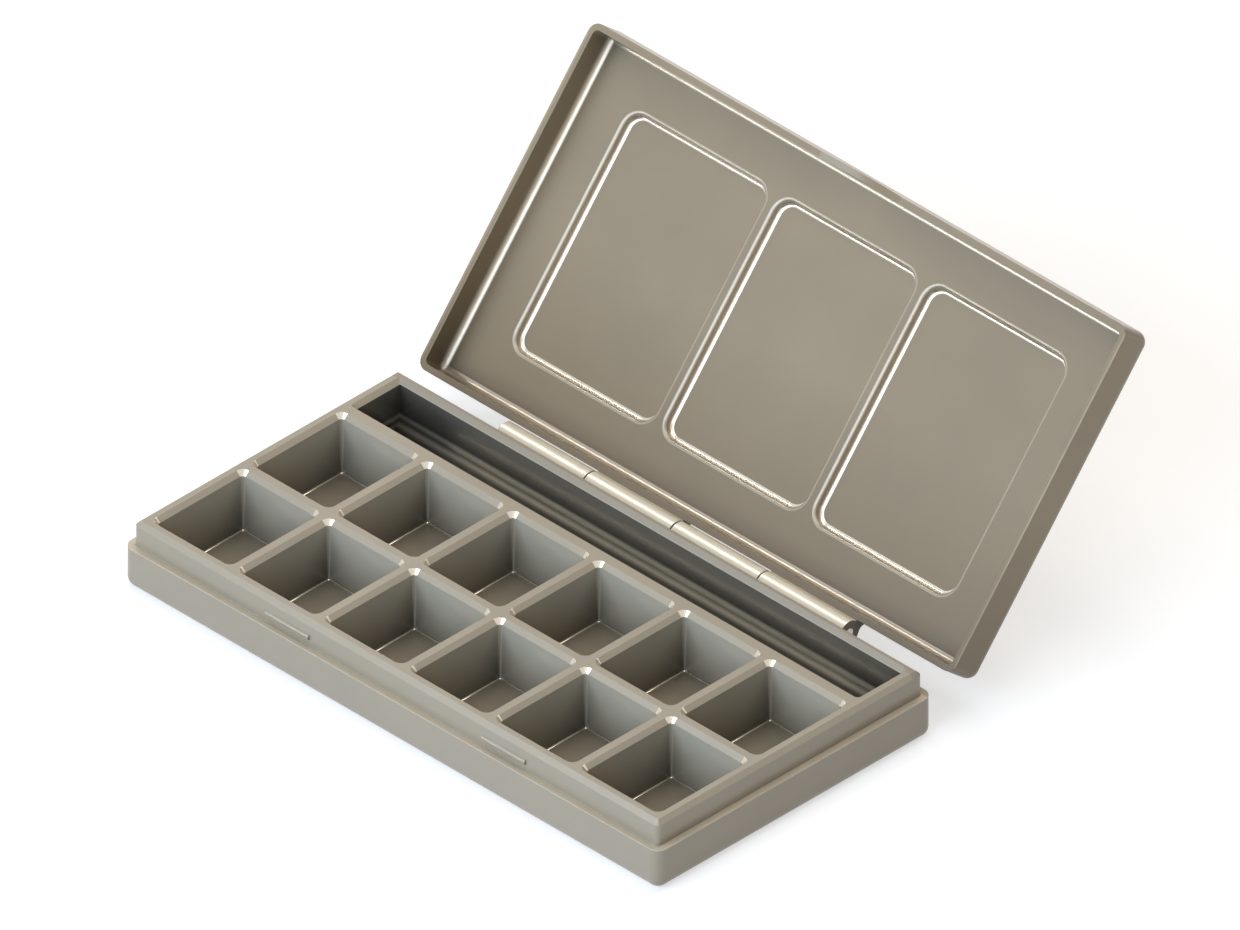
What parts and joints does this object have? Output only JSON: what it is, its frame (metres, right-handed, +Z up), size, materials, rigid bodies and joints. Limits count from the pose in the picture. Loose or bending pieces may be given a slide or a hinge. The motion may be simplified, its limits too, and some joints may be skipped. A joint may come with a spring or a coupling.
{
  "type": "travel paint palette",
  "caption": "Slim hinged travel palette: a tray of rectangular paint wells with a round-bottomed brush trough, and a lid with shallow mixing recesses that folds right back.",
  "frame": {"origin": "centre of the tray's flat underside, on the surface that it rests on; the hinge's knuckles aren't counted", "axes": "+X along the hinge, to the right seen from the front; +Y from the front, with the snap ridges, to the hinge; +Z up"},
  "size_m": [0.1236, 0.1136, 0.0586],
  "materials": {
    "tray": "satin warm grey with a metallic sheen",
    "lid": "satin warm grey with a metallic sheen",
    "pin": "satin"
  },
  "bodies": {
    "tray": {"base_tray": "tray", "hinge_pin": "pin"},
    "lid": {"lid": "lid"}
  },
  "joints": [
    {"name": "lid_hinge", "type": "hinge", "parent": "tray", "child": "lid", "pos_m": [0, 0.03433, 0.008], "axis": [-1, 0, 0], "range_deg": [-130, 50]}
  ]
}
